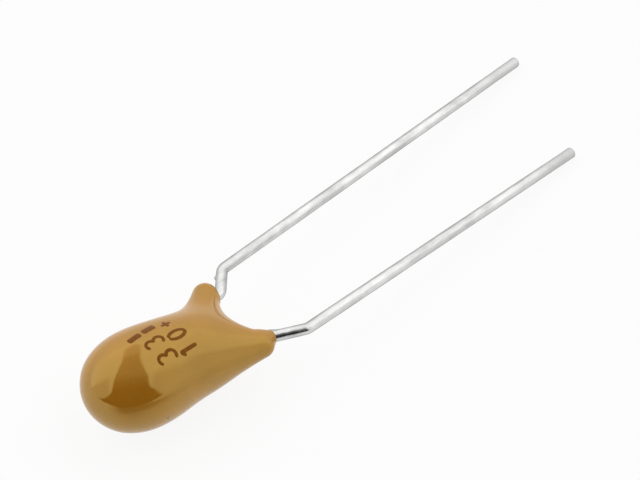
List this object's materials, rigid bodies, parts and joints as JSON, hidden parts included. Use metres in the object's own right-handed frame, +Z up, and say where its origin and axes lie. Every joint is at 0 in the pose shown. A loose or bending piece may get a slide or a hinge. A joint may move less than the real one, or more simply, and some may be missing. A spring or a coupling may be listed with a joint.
{
  "type": "tantalum capacitor",
  "caption": "Resin dipped tantalum bead capacitor with a drop-shaped glossy body, horns over the wires and kinked radial leads for a circuit board.",
  "frame": {"origin": "middle of the part's box in x and y, on the surface it lies on", "axes": "the part lies as it comes to rest on its bead and both lead tips: +X runs along the leads from the bead's crown to the tips, +Y is the side of the longer anode lead, +Z is up, out of the printed face"},
  "size_m": [0.028, 0.0064, 0.0041],
  "materials": {
    "resin": "glossy dipped epoxy",
    "sintered_tantalum": "matte porous",
    "tantalum_wire": "drawn",
    "ptfe": "matte",
    "manganese_dioxide": "matte",
    "graphite": "dull sheen",
    "silver_paint": "satin",
    "solder": "bright",
    "tinned_wire": "bright tinned"
  },
  "bodies": {
    "root": {"resin_coat": "resin", "anode_pellet": "sintered_tantalum", "riser_wire": "tantalum_wire", "insulating_washer": "ptfe", "manganese_dioxide": "manganese_dioxide", "graphite": "graphite", "silver": "silver_paint", "solder": "solder", "anode_lead": "tinned_wire", "cathode_lead": "tinned_wire"}
  },
  "joints": []
}
